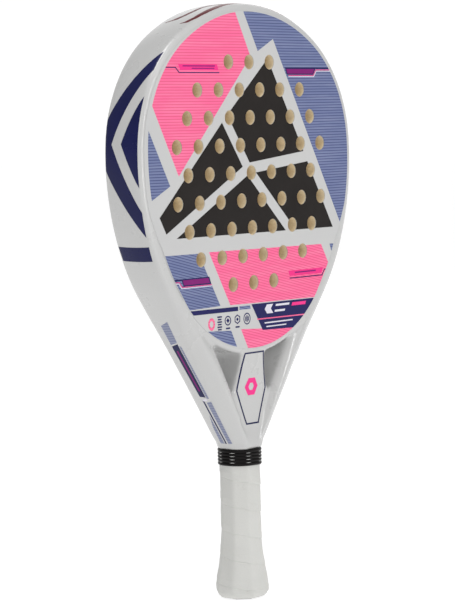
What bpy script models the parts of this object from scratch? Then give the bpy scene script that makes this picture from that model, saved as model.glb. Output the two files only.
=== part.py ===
"""Padel racket, modelled in metres: X across the head, +Z up the racket, front hitting face towards -Y.

The origin is the middle of the flat end of the handle. The head outline is drawn as a run of tangent arcs that
starts level at the top and turns down the right side, and everything in the head is an inset of that outline.
"""

import math

import bmesh
import bpy

MM = 0.001
GAP = 0.3 * MM

# Head outline: each arc is (radius, heading in degrees below level where it ends, steps).
RACKET_LENGTH = 455 * MM
HEAD_DEPTH = 36 * MM
CROWN_ARC = (143.4 * MM, 33.8, 6)
SHOULDER_ARC = (104.7 * MM, 86.6, 8)
FLANK_ARC = (185.0 * MM, 123.7, 8)
NECK_HALF_WIDTH = 17 * MM

# Frame tube across its section: (height, size) in millimetres. The side wall is full in the head, and down the
# arms it narrows between two broad bevels that run in to a ridge.
TUBE_WALL = 2 * MM
TUBE_WIDTHS = ((218, 14.0), (205, 17.4), (186, 21.9), (155, 18.9), (135, 16.2), (119, 13.0))
TUBE_HALF_DEPTHS = ((160, 18.0), (140, 17.2), (121, 16.0))
WALL_HALF_DEPTHS = ((250, 13.5), (230, 13.2), (200, 11.2), (170, 10.0), (150, 9.4))
BEVEL_WIDTHS = ((250, 4.5), (230, 5.4), (200, 8.6), (170, 9.2), (140, 8.4), (121, 6.5))
BEVEL_ROUNDING = ((250, 0.293), (200, 0.44))
INNER_CORNERS = ((230, 2.0), (190, 4.0))
NECK_TOP = 121 * MM
NECK_TOP_HALF_WIDTH = 18.2 * MM
NECK_BOTTOM_HALF_WIDTH = 16.6 * MM
NECK_BOTTOM_HALF_DEPTH = 15.4 * MM
NECK_CORNER = 6 * MM

# Hitting faces: an inset of the outline, closed at the bottom by one arc.
FACE_INSET = 10.6 * MM
FACE_THICKNESS = 1.4 * MM
FACE_SEAT = 3.4 * MM
FACE_BOTTOM_RADIUS = 99 * MM
BRIDGE_RIM = 3.5 * MM

# Hole pattern: an equilateral lattice, centred across the head.
HOLE_PITCH = 24.1 * MM
HOLE_DIAMETER = 11.2 * MM
TOP_HOLE_ROW = 410.3 * MM
HOLES_PER_ROW = (3, 6, 7, 8, 7, 8, 7, 6, 3)
HOLE_SIDES = 10

# Heart and yoke: (height, half width, half depth) in millimetres, from the bridge down to the neck.
YOKE_STATIONS = (
    (188.6, 13.0, 16.8),
    (175.0, 16.3, 14.6),
    (163.0, 19.4, 12.8),
    (160.2, 20.2, 12.6),
    (159.9, 21.6, 12.6),
    (130.2, 5.9, 13.0),
    (124.0, 3.4, 13.6),
    (116.4, 3.4, 14.4),
)

# Handle: an octagon in layers. Half sizes are of the flats, and the flare is added to every layer.
NECK_BOTTOM = 116 * MM
LEG_TOP = 115.6 * MM
LEG_BOTTOM = 27 * MM
LEG_OUTER = 10 * MM
LEG_INNER = 3.8 * MM
LEG_HALF_DEPTH = 6.5 * MM
LEG_BEVEL = (1 * MM, 1 * MM, 0.3, 1 * MM)
SMALLEST_CORNER = 0.8 * MM
LEG_WALL = 1.2 * MM
PALLET_HALF = (13.4 * MM, 12.4 * MM)
BASE_GRIP_THICKNESS = 1.2 * MM
OVERGRIP_THICKNESS = 0.7 * MM
TAPE_THICKNESS = 0.3 * MM
OCTAGON_CHAMFER = 0.58
FLARE = ((116, 0.0), (50, 0.0), (36, 0.8), (25, 2.3), (15, 4.0), (9, 4.8), (5, 4.6), (2.4, 3.4), (1.0, 2.0))
PALLET_SPAN = (3 * MM, 115.3 * MM)
BASE_GRIP_SPAN = (3 * MM, 106 * MM)
OVERGRIP_SPAN = (1.0 * MM, 110 * MM)
TAPE_SPAN = (104.5 * MM, 114.5 * MM)
COLLAR_SPAN = (103 * MM, 115.6 * MM)
COLLAR_WALL = 0.6 * MM
COLLAR_RIBS = 5
COLLAR_RIB_HEIGHT = 0.6 * MM

# Butt cap, its cord pin and its screws.
CAP_PLATE = 2.6 * MM
CAP_PLATE_SPREAD = 1.2 * MM
PLUG_HALF = (10 * MM, 6.5 * MM)
PLUG_TOP = 26 * MM
CORD_HOLE_HALF = (4.5 * MM, 4.0 * MM)
CORD_HOLE_TOP = 22 * MM
PIN_DIAMETER = 3 * MM
PIN_HALF_LENGTH = 5.3 * MM
PIN_HEIGHT = 14 * MM
SCREW_X = 7.3 * MM
SCREW_DIAMETER = 2.2 * MM
SCREW_HEAD_DIAMETER = 4.4 * MM
SCREW_HEAD_HEIGHT = 1.4 * MM
SCREW_TIP = 38 * MM


def clear_scene():
    for obj in list(bpy.data.objects):
        bpy.data.objects.remove(obj, do_unlink=True)


def finish(name, colour, roughness, metallic=0.0):
    material = bpy.data.materials.new(name)
    material.use_nodes = True
    shader = material.node_tree.nodes["Principled BSDF"]
    shader.inputs["Base Color"].default_value = (*colour, 1.0)
    shader.inputs["Roughness"].default_value = roughness
    shader.inputs["Metallic"].default_value = metallic
    return material


def add_object(name, bm, material=None):
    """Turns the bmesh into an object. Without a material it is a cutter, which is left out of the model."""
    bmesh.ops.recalc_face_normals(bm, faces=bm.faces)
    mesh = bpy.data.meshes.new(name)
    bm.to_mesh(mesh)
    bm.free()
    obj = bpy.data.objects.new(name, mesh)
    bpy.context.scene.collection.objects.link(obj)
    if material:
        mesh.materials.append(material)
    else:
        obj.hide_render = True
        obj.display_type = "WIRE"
    return obj


def cut(obj, cutter):
    boolean = obj.modifiers.new("Cut " + cutter.name, "BOOLEAN")
    boolean.operation = "DIFFERENCE"
    boolean.solver = "EXACT"
    boolean.object = cutter


def loft(rings):
    """A closed body through rings of points: the first ring's face, extruded to each ring after it."""
    bm = bmesh.new()
    corners = [bm.verts.new(point) for point in rings[0]]
    face = bm.faces.new(corners)
    for step, ring in enumerate(rings[1:]):
        made = bmesh.ops.extrude_face_region(bm, geom=[face])
        if step:
            bm.faces.remove(face)
        face = next(part for part in made["geom"] if isinstance(part, bmesh.types.BMFace))
        raised = {}
        for vertex in face.verts:
            for edge in vertex.link_edges:
                raised[edge.other_vert(vertex)] = vertex
        corners = [raised[corner] for corner in corners]
        for vertex, point in zip(corners, ring):
            vertex.co = point
    return bm


def slab(outline, front, back):
    """A plate of the (x, z) outline between two depths."""
    return loft([[(x, depth, z) for x, z in outline] for depth in (front, back)])


def box(half_x, half_y, bottom, top):
    corners = ((-half_x, -half_y), (half_x, -half_y), (half_x, half_y), (-half_x, half_y))
    return loft([[(x, y, z) for x, y in corners] for z in (bottom, top)])


def rod(radius, bottom, top, sides=12):
    """An upright cylinder on the racket's axis."""
    turns = [2 * math.pi * step / sides for step in range(sides)]
    return loft([[(radius * math.cos(t), radius * math.sin(t), z) for t in turns] for z in (bottom, top)])


def interpolate(table, z):
    """The value at this height in a table of (height, value), both in millimetres, as metres."""
    ordered = sorted(table)
    height = z / MM
    if height <= ordered[0][0]:
        return ordered[0][1] * MM
    for (low, first), (high, second) in zip(ordered, ordered[1:]):
        if height <= high:
            return (first + (second - first) * (height - low) / (high - low)) * MM
    return ordered[-1][1] * MM


def arc_run(inset, arcs):
    """(x, z, heading) from the top of the head along tangent arcs, each moved in by the inset."""
    x, z, heading = 0.0, RACKET_LENGTH - inset, 0.0
    points = [(x, z, heading)]
    for radius, last_degrees, steps in arcs:
        last = math.radians(last_degrees)
        r = radius - inset
        for step in range(1, steps + 1):
            turned = heading + (last - heading) * step / steps
            points.append(
                (
                    x + r * (math.sin(turned) - math.sin(heading)),
                    z + r * (math.cos(turned) - math.cos(heading)),
                    turned,
                )
            )
        x, z, heading = points[-1]
    return points


def face_outline(extra_inset):
    """The closed outline of the hitting face, moved in further by extra_inset."""
    inset = FACE_INSET + extra_inset
    crown, first, _ = CROWN_ARC
    shoulder, second, _ = SHOULDER_ARC
    first, second = math.radians(first), math.radians(second)
    bottom = FACE_BOTTOM_RADIUS + FACE_INSET
    reach = crown * math.sin(first) + shoulder * (math.sin(second) - math.sin(first))
    closing = math.pi - math.asin((FLANK_ARC[0] * math.sin(second) - reach) / (FLANK_ARC[0] - bottom))
    arcs = (CROWN_ARC, SHOULDER_ARC, (FLANK_ARC[0], math.degrees(closing), 7), (bottom, 180.0, 6))
    right = [(x, z) for x, z, _ in arc_run(inset, arcs)]
    return right + [(-x, z) for x, z in reversed(right[1:-1])]


def face_arc_centre():
    """Height of the centre of the arc that closes the hitting face at the bottom."""
    return min(z for _, z in face_outline(0.0)) + FACE_BOTTOM_RADIUS


def frame_stations():
    """(outer, inner, half depth, corner) down the right side, from the top of the head to the end of the leg."""
    run = arc_run(0.0, (CROWN_ARC, SHOULDER_ARC, FLANK_ARC))
    x, z, heading = run[-1]
    arm_length = (x - NECK_HALF_WIDTH) / -math.cos(heading)
    for share in (0.2, 0.4, 0.6, 0.8, 0.95):
        run.append(
            (x + share * arm_length * math.cos(heading), z - share * arm_length * math.sin(heading), heading)
        )
    stations = []
    for x, z, heading in run:
        width = interpolate(TUBE_WIDTHS, z)
        inner = (x - width * math.sin(heading), z - width * math.cos(heading))
        half_depth = interpolate(TUBE_HALF_DEPTHS, z)
        bevel = (
            interpolate(BEVEL_WIDTHS, z),
            half_depth - interpolate(WALL_HALF_DEPTHS, z),
            interpolate(BEVEL_ROUNDING, z) / MM,
            interpolate(INNER_CORNERS, z),
        )
        stations.append(((x, z), inner, half_depth, bevel))
    neck_bevel = (NECK_CORNER, NECK_CORNER, 0.44, 2 * MM)
    for z, half_width, half_depth in (
        (NECK_TOP, NECK_TOP_HALF_WIDTH, interpolate(TUBE_HALF_DEPTHS, NECK_TOP)),
        (NECK_BOTTOM, NECK_BOTTOM_HALF_WIDTH, NECK_BOTTOM_HALF_DEPTH),
    ):
        stations.append(((half_width, z), (LEG_INNER, z), half_depth, neck_bevel))
    for z in (LEG_TOP, LEG_BOTTOM):
        stations.append(((LEG_OUTER, z), (LEG_INNER, z), LEG_HALF_DEPTH, LEG_BEVEL))
    return stations


def tube_ring(outer, inner, half_depth, bevel, mirror):
    """One section of the frame tube, as ten points from its outer wall round to its inner wall and back."""
    length = math.dist(outer, inner)
    towards = ((inner[0] - outer[0]) / length, (inner[1] - outer[1]) / length)
    across, deep, rounding, inner_corner = bevel
    across, inner_corner = min(across, 0.45 * length), min(inner_corner, 0.3 * length)
    profile = (
        (0.0, half_depth - deep),
        (rounding * across, half_depth - rounding * deep),
        (across, half_depth),
        (length - inner_corner, half_depth),
        (length, half_depth - inner_corner),
    )
    profile = [(s, -y) for s, y in profile] + [(s, y) for s, y in reversed(profile)]
    return [
        (mirror * (outer[0] + s * towards[0]), y, outer[1] + s * towards[1]) for s, y in profile
    ]


def tube_body(stations):
    left = [tube_ring(*station, -1) for station in reversed(stations[1:])]
    right = [tube_ring(*station, 1) for station in stations]
    return loft(left + right)


def shrunk(stations, wall):
    """The same run of sections with every side moved in by the wall."""
    smaller = []
    for (ox, oz), (ix, iz), half_depth, bevel in stations:
        length = math.dist((ox, oz), (ix, iz))
        sx, sz = (ix - ox) / length * wall, (iz - oz) / length * wall
        across, deep, rounding, inner_corner = bevel
        tighter = (
            max(across - 0.4 * wall, SMALLEST_CORNER),
            max(deep - 0.4 * wall, SMALLEST_CORNER),
            rounding,
            max(inner_corner - 0.4 * wall, SMALLEST_CORNER),
        )
        smaller.append(((ox + sx, oz + sz), (ix - sx, iz - sz), half_depth - wall, tighter))
    return smaller


def lowered_shoulder(stations, wall, foot):
    """Stations for the inside of the tube: the neck's shoulder keeps its wall, and the leg runs to the foot."""
    inside = shrunk(stations[:-4], wall)
    neck = shrunk(stations[-4:-2], wall)
    outer, inner, half_depth, bevel = neck[1]
    raised = NECK_BOTTOM + TUBE_WALL + 4 * (wall - TUBE_WALL)
    neck[1] = ((outer[0], raised), (inner[0], raised), half_depth, bevel)
    leg_wall = LEG_WALL + wall - TUBE_WALL
    leg = []
    for z in (raised - 0.4 * MM, foot):
        leg.append(
            (
                (LEG_OUTER - leg_wall, z),
                (LEG_INNER + wall, z),
                LEG_HALF_DEPTH - leg_wall,
                (SMALLEST_CORNER,) * 2 + (0.44, SMALLEST_CORNER),
            )
        )
    return inside + neck + leg


def octagon(half_x, half_y, z):
    chamfer = OCTAGON_CHAMFER * half_y
    right = [(half_x, half_y - chamfer), (half_x - chamfer, half_y)]
    quarter = right + [(-x, y) for x, y in reversed(right)]
    return [(x, y, z) for x, y in quarter + [(-x, -y) for x, y in quarter]]


def grip_layer(spread, span):
    """The handle's octagon grown by the spread, with its flare, between two heights."""
    low, high = span
    inside = [h * MM for h, _ in sorted(FLARE) if low < h * MM < high]
    rings = []
    for z in [low, *inside, high]:
        grown = spread + interpolate(FLARE, z)
        rings.append(octagon(PALLET_HALF[0] + grown, PALLET_HALF[1] + grown, z))
    return loft(rings)


def sleeve(name, inner_spread, thickness, span, material):
    """A tube of even wall round the handle."""
    obj = add_object(name, grip_layer(inner_spread + thickness, span), material)
    past = (span[0] - 2 * MM, span[1] + 2 * MM)
    cut(obj, add_object(name + "_bore", grip_layer(inner_spread, past)))
    return obj


def hole_centres():
    row_step = HOLE_PITCH * math.sqrt(3) / 2
    for row, count in enumerate(HOLES_PER_ROW):
        for index in range(count):
            yield (index - (count - 1) / 2) * HOLE_PITCH, TOP_HOLE_ROW - row * row_step


def drilled_sheet(name, extra_inset, front, back, drill, material):
    obj = add_object(name, slab(face_outline(extra_inset), front, back), material)
    cut(obj, drill)
    return obj


def make_drill():
    """All the drills in one cutter, for the two faces and the core."""
    bm = bmesh.new()
    depth = HEAD_DEPTH + 10 * MM
    for x, z in hole_centres():
        made = bmesh.ops.create_circle(bm, cap_ends=True, segments=HOLE_SIDES, radius=HOLE_DIAMETER / 2)
        for vertex in made["verts"]:
            vertex.co = (x + vertex.co.x, -depth / 2, z + vertex.co.y)
        face = made["verts"][0].link_faces[0]
        pushed = bmesh.ops.extrude_face_region(bm, geom=[face])
        moved = [part for part in pushed["geom"] if isinstance(part, bmesh.types.BMVert)]
        bmesh.ops.translate(bm, verts=moved, vec=(0, depth, 0))
    return add_object("hole_drill", bm)


def make_frame(paint, foam):
    stations = frame_stations()
    front = -HEAD_DEPTH / 2
    tube = add_object("frame_tube", tube_body(stations), paint)
    cut(tube, add_object("tube_bore", tube_body(lowered_shoulder(stations, TUBE_WALL, LEG_BOTTOM - 5 * MM))))
    seat_depth = FACE_THICKNESS + GAP
    seats = {}
    for side, outer in (("front", front - 2 * MM), ("back", -front + 2 * MM)):
        seat = math.copysign(HEAD_DEPTH / 2 - seat_depth, outer)
        seats[side] = add_object("face_seat_" + side, slab(face_outline(-GAP), outer, seat))
        cut(tube, seats[side])
    add_object("frame_foam", tube_body(lowered_shoulder(stations, TUBE_WALL + GAP, 42 * MM)), foam)

    centre = face_arc_centre()
    low, high = FACE_BOTTOM_RADIUS - FACE_SEAT, FACE_BOTTOM_RADIUS + BRIDGE_RIM
    sweep = [math.radians(40 * step / 7) for step in range(-7, 8)]
    lower = [(high * math.sin(a), centre - high * math.cos(a)) for a in sweep]
    upper = [(low * math.sin(a), centre - low * math.cos(a)) for a in reversed(sweep)]
    bridge = add_object("throat_bridge", slab(lower + upper, front + 0.4 * MM, -front - 0.4 * MM), paint)
    clearance = []
    for outer, inner, half_depth, bevel in stations[:-4]:
        length = math.dist(outer, inner)
        beyond = (
            inner[0] + (inner[0] - outer[0]) / length * GAP,
            inner[1] + (inner[1] - outer[1]) / length * GAP,
        )
        clearance.append((outer, beyond, half_depth + 5 * MM, bevel))
    cut(bridge, add_object("bridge_trim", tube_body(clearance)))
    for seat in seats.values():
        cut(bridge, seat)

    rings = []
    for height, half_width, half_depth in YOKE_STATIONS:
        x, y, edge = half_width * MM, half_depth * MM, 1.5 * MM
        corner = [(x, y - edge), (x - edge, y)]
        half = corner + [(-a, b) for a, b in reversed(corner)]
        rings.append([(a, b, height * MM) for a, b in half + [(-a, -b) for a, b in half]])
    add_object("heart_yoke", loft(rings), paint)


def make_head(skin, eva):
    drill = make_drill()
    front = -HEAD_DEPTH / 2
    under = front + FACE_THICKNESS
    drilled_sheet("front_face", 0.0, front, under, drill, skin)
    drilled_sheet("back_face", 0.0, -under, -front, drill, skin)
    core_inset = FACE_SEAT + GAP
    drilled_sheet("foam_core", core_inset, under + GAP, -under - GAP, drill, eva)


def make_handle(foam, shell, cushion, wrap, tape, rubber):
    core_half = LEG_INNER - GAP
    add_object("handle_core", box(core_half, LEG_HALF_DEPTH, LEG_BOTTOM, LEG_TOP), foam)
    channel = add_object(
        "pallet_channel", box(LEG_OUTER + GAP, LEG_HALF_DEPTH + GAP, -5 * MM, NECK_BOTTOM + 5 * MM)
    )
    for name, side in (("pallet_front", -1), ("pallet_back", 1)):
        half = add_object(name, grip_layer(0.0, PALLET_SPAN), shell)
        cut(half, channel)
        edge, far = -side * 40 * MM, side * GAP / 2
        corners = [(-40 * MM, -5 * MM), (40 * MM, -5 * MM), (40 * MM, 130 * MM), (-40 * MM, 130 * MM)]
        cut(half, add_object(name + "_split", slab(corners, edge, far)))
    spread = GAP
    sleeve("base_grip", spread, BASE_GRIP_THICKNESS, BASE_GRIP_SPAN, cushion)
    spread += BASE_GRIP_THICKNESS + GAP
    sleeve("overgrip", spread, OVERGRIP_THICKNESS, OVERGRIP_SPAN, wrap)
    spread += OVERGRIP_THICKNESS + GAP
    sleeve("finishing_tape", spread, TAPE_THICKNESS, TAPE_SPAN, tape)
    spread += TAPE_THICKNESS + GAP
    low, high = COLLAR_SPAN
    rib = (high - low) / COLLAR_RIBS
    rings = []
    for index in range(COLLAR_RIBS):
        foot = low + index * rib
        for share, lift in ((0.02, 0.0), (0.25, 0.9), (0.5, 1.0), (0.75, 0.9)):
            grown = spread + COLLAR_WALL + lift * COLLAR_RIB_HEIGHT
            rings.append(octagon(PALLET_HALF[0] + grown, PALLET_HALF[1] + grown, foot + share * rib))
    grown = spread + COLLAR_WALL
    rings.append(octagon(PALLET_HALF[0] + grown, PALLET_HALF[1] + grown, high))
    collar = add_object("rubber_collar", loft(rings), rubber)
    cut(collar, add_object("collar_bore", grip_layer(spread, (low - 2 * MM, high + 2 * MM))))


def make_butt(shell, steel):
    plate_half = [half + CAP_PLATE_SPREAD for half in PALLET_HALF]
    plate = loft([octagon(*plate_half, z) for z in (0.0, CAP_PLATE)])
    cap = add_object("butt_cap", plate, shell)
    plug = add_object("cap_plug", box(*PLUG_HALF, CAP_PLATE - 1 * MM, PLUG_TOP))
    join = cap.modifiers.new("Join plug", "BOOLEAN")
    join.operation = "UNION"
    join.solver = "EXACT"
    join.object = plug
    cut(cap, add_object("cord_hole", box(*CORD_HOLE_HALF, -3 * MM, CORD_HOLE_TOP)))

    reach = PIN_HALF_LENGTH + GAP
    bore = add_object("pin_bore", rod(PIN_DIAMETER / 2 + GAP, -reach, reach))
    pin = add_object("cord_pin", rod(PIN_DIAMETER / 2, -PIN_HALF_LENGTH, PIN_HALF_LENGTH), steel)
    for obj in (bore, pin):
        obj.rotation_euler = (0, math.pi / 2, 0)
        obj.location = (0, 0, PIN_HEIGHT)
    cut(cap, bore)

    turns = [2 * math.pi * step / 12 for step in range(12)]
    for name, x in (("cap_screw_left", -SCREW_X), ("cap_screw_right", SCREW_X)):
        for grow, label, material in ((GAP, name + "_bore", None), (0.0, name, steel)):
            thread = SCREW_DIAMETER / 2 + grow
            head = SCREW_HEAD_DIAMETER / 2 + grow
            foot = 0.3 * MM if material else -1 * MM
            neck = SCREW_HEAD_HEIGHT + grow
            profile = ((head, foot), (head, 0.6 * MM), (thread, neck), (thread, SCREW_TIP - 2 * MM))
            rings = [[(x + r * math.cos(t), r * math.sin(t), z) for t in turns] for r, z in profile]
            rings.append([(x + 0.4 * thread * math.cos(t), 0.4 * thread * math.sin(t), SCREW_TIP) for t in turns])
            made = add_object(label, loft(rings), material)
            if material is None:
                cut(cap, made)


clear_scene()
white_paint = finish("white_paint", (0.62, 0.62, 0.61), 0.3)
face_skin = finish("face_skin", (0.80, 0.20, 0.40), 0.45)
eva_foam = finish("eva_foam", (0.50, 0.36, 0.19), 0.8)
fill_foam = finish("fill_foam", (0.75, 0.70, 0.55), 0.9)
grey_shell = finish("grey_shell", (0.12, 0.12, 0.12), 0.5)
cushion_tape = finish("cushion_tape", (0.05, 0.05, 0.05), 0.8)
white_wrap = finish("white_wrap", (0.66, 0.66, 0.64), 0.6)
vinyl_tape = finish("vinyl_tape", (0.70, 0.70, 0.70), 0.4)
black_rubber = finish("black_rubber", (0.02, 0.018, 0.016), 0.45)
steel = finish("steel", (0.60, 0.60, 0.62), 0.35, 1.0)

make_frame(white_paint, fill_foam)
make_head(face_skin, eva_foam)
make_handle(fill_foam, grey_shell, cushion_tape, white_wrap, vinyl_tape, black_rubber)
make_butt(grey_shell, steel)
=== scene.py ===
"""Padel racket: the looks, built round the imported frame. Sizes are in millimetres until a point is placed."""

import math

import bmesh
import bpy
from mathutils import Matrix, Vector
from mathutils.bvhtree import BVHTree


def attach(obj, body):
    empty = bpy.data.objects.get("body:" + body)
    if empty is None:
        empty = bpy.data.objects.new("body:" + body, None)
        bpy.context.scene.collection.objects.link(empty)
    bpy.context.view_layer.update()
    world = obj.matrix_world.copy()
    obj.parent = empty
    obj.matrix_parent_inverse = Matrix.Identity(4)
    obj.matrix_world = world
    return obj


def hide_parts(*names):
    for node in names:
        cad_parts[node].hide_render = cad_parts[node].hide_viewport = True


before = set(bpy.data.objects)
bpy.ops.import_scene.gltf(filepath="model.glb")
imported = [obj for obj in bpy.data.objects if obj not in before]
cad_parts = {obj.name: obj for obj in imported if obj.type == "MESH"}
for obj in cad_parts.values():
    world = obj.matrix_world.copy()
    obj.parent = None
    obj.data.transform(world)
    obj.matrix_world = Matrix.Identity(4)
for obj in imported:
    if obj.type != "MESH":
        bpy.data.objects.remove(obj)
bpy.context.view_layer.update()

# ------------------------------------------------------------------------
# Frame: one moulded tube of glass and carbon cloth round the head and down both arms, joined by the bridge
# under the face and by the heart between the arms, then filled, sanded and sprayed pearl white.
# ------------------------------------------------------------------------
MM = 0.001
RACKET_LENGTH = 455.0
OUTLINE_ARCS = ((143.4, 33.8, 22), (104.7, 86.6, 26), (185.0, 123.7, 26))
ARM_STEPS = 30
ARM_END_HALF_WIDTH = 17.2
NECK_BOTTOM = 115.4
NECK_BOTTOM_HALF_WIDTH = 16.5
NECK_INNER_HALF_WIDTH = 2.0
TUBE_WIDTHS = ((218, 14.0), (205, 17.4), (186, 21.9), (155, 18.9), (135, 16.2), (119, 13.0))
TUBE_HALF_DEPTHS = ((160, 18.0), (140, 17.2), (121, 16.0), (116, 15.4))
WALL_HALF_DEPTHS = ((250, 14.0), (230, 13.4), (200, 11.3), (170, 10.0), (150, 9.4), (124, 9.0), (116, 7.0))
BEVEL_WIDTHS = ((250, 5.0), (230, 6.5), (200, 8.8), (170, 9.8), (140, 9.4), (116, 7.6))
HEAD_ENDS, ARM_BEGINS = 262.0, 196.0
FACE_SEAT_ENDS = 240.0
SKIN_INSETS = ((268, 11.2), (300, 6.4))
LIP_GAP = 0.2
OUTSIDE_POINTS = 8
BRIDGE_CENTRE = 291.6
BRIDGE_SECTION = ((95.0, 17.88), (100.2, 17.88), (101.7, 17.3), (102.5, 15.9))
BRIDGE_HALF_SWEEP = 56
BRIDGE_STEP = 2
YOKE_STATIONS = (
    (192.0, 14.6, 17.0), (189.0, 14.4, 16.9), (186.0, 14.5, 16.3), (182.0, 15.0, 15.6), (176.0, 16.2, 14.7),
    (169.0, 18.1, 13.7), (163.0, 20.0, 13.0), (160.4, 21.6, 12.9), (158.8, 25.0, 12.9), (150.0, 21.5, 13.0),
    (140.0, 17.0, 13.3), (132.0, 13.5, 13.8), (125.0, 11.5, 14.5), (119.0, 10.0, 15.1),
    (NECK_BOTTOM, 9.5, 15.3),
)
YOKE_CORNER = 2.2
VOXEL = 1.2 * MM
WAVE_SCALE = 0.31416


def lookup(table, height):
    """The value at this height in a table of (height, value)."""
    ordered = sorted(table)
    if height <= ordered[0][0]:
        return ordered[0][1]
    for (low, first), (high, second) in zip(ordered, ordered[1:]):
        if height <= high:
            return first + (second - first) * (height - low) / (high - low)
    return ordered[-1][1]


def ease(share):
    """A share from 0 to 1 that starts and stops gently."""
    share = min(1.0, max(0.0, share))
    return share * share * (3 - 2 * share)


def outline_run():
    """(x, z, heading, distance) down the right side, from the top of the head to the foot of the neck."""
    x, z, heading, gone = 0.0, RACKET_LENGTH, 0.0, 0.0
    run = [(x, z, heading, gone)]
    for radius, last_degrees, steps in OUTLINE_ARCS:
        first, last = heading, math.radians(last_degrees)
        x0, z0 = x, z
        for step in range(1, steps + 1):
            turned = first + (last - first) * step / steps
            x = x0 + radius * (math.sin(turned) - math.sin(first))
            z = z0 + radius * (math.cos(turned) - math.cos(first))
            gone += radius * (last - first) / steps
            run.append((x, z, turned, gone))
        heading = last
    arm = (x - ARM_END_HALF_WIDTH) / -math.cos(heading)
    x0, z0, start = x, z, gone
    for step in range(1, ARM_STEPS + 1):
        along = arm * step / ARM_STEPS
        x, z = x0 + along * math.cos(heading), z0 - along * math.sin(heading)
        run.append((x, z, heading, start + along))
    return run


RUN = outline_run()


def on_outline(distance):
    """(x, z, heading) at this distance from the top along the outline."""
    for before, after in zip(RUN, RUN[1:]):
        if distance <= after[3]:
            share = (distance - before[3]) / (after[3] - before[3])
            return tuple(a + (b - a) * share for a, b in zip(before[:3], after[:3]))
    return RUN[-1][:3]


def tube_profile(height):
    """Half the tube's section at this height, from its wall inwards, as (distance in, depth)."""
    width, deep = lookup(TUBE_WIDTHS, height), lookup(TUBE_HALF_DEPTHS, height)
    wall, bevel = lookup(WALL_HALF_DEPTHS, height), lookup(BEVEL_WIDTHS, height)
    rise = deep - wall
    seat = lookup(SKIN_INSETS, height) - LIP_GAP
    under = width - seat
    head = (
        (0.0, 0.0), (0.08, 4.0), (0.35, 8.5), (0.7, 12.0), (1.05, 14.6), (1.6, 16.2), (2.6, 17.2),
        (4.2, 17.7), (seat, 17.95), (seat + 0.45 * under, 17.45), (seat + 0.75 * under, 17.35),
        (width - 0.6, 17.1), (width, 16.0), (width, 0.0),
    )
    arm = (
        (0.0, 0.0), (0.05, 0.4 * wall), (0.12, 0.75 * wall), (0.3, 0.93 * wall), (0.8, wall + 0.45),
        (0.35 * bevel, wall + 0.38 * rise), (0.65 * bevel, wall + 0.70 * rise),
        (0.88 * bevel, wall + 0.90 * rise), (1.1 * bevel, deep - 0.1), (1.3 * bevel, deep - 0.05),
        (width - 5.5, deep - 0.9), (width - 2.6, deep - 2.5), (width - 0.6, deep - 5.2), (width, 0.0),
    )
    outside = ease((HEAD_ENDS - height) / (HEAD_ENDS - ARM_BEGINS))
    inside = ease((FACE_SEAT_ENDS - height) / (FACE_SEAT_ENDS - ARM_BEGINS))
    shares = [outside if point < OUTSIDE_POINTS else inside for point in range(len(head))]
    return [(a + (c - a) * share, b + (d - b) * share) for (a, b), (c, d), share in zip(head, arm, shares)]


def round_both_faces(half):
    """The half section, front first, carried round the back to a closed ring."""
    return [(a, -b) for a, b in half] + [(a, b) for a, b in reversed(half[1:-1])]


def loft(bm, rings):
    """A closed body through rings of points: the first ring's face, extruded to each ring after it."""
    corners = [bm.verts.new(Vector(point) * MM) for point in rings[0]]
    face = bm.faces.new(corners)
    for step, ring in enumerate(rings[1:]):
        made = bmesh.ops.extrude_face_region(bm, geom=[face])
        if step:
            bm.faces.remove(face)
        face = next(part for part in made["geom"] if isinstance(part, bmesh.types.BMFace))
        raised = {}
        for vertex in face.verts:
            for edge in vertex.link_edges:
                raised[edge.other_vert(vertex)] = vertex
        corners = [raised[corner] for corner in corners]
        for vertex, point in zip(corners, ring):
            vertex.co = Vector(point) * MM
    return bm


def make_piece(name, bm, materials, smooth_degrees=35):
    """Turns the bmesh into a piece at the origin, shaded smooth up to the given angle."""
    bmesh.ops.recalc_face_normals(bm, faces=bm.faces)
    mesh = bpy.data.meshes.new(name)
    bm.to_mesh(mesh)
    bm.free()
    for material in materials:
        mesh.materials.append(material)
    if smooth_degrees:
        mesh.shade_smooth()
        mesh.set_sharp_from_angle(angle=math.radians(smooth_degrees))
    piece = bpy.data.objects.new(name, mesh)
    bpy.context.scene.collection.objects.link(piece)
    return piece


def settle(piece, smooth_degrees=35):
    """Applies the piece's modifiers to its mesh."""
    graph = bpy.context.evaluated_depsgraph_get()
    graph.update()
    mesh = bpy.data.meshes.new_from_object(piece.evaluated_get(graph))
    piece.modifiers.clear()
    piece.data = mesh
    mesh.shade_smooth()
    mesh.set_sharp_from_angle(angle=math.radians(smooth_degrees))
    return piece


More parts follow.
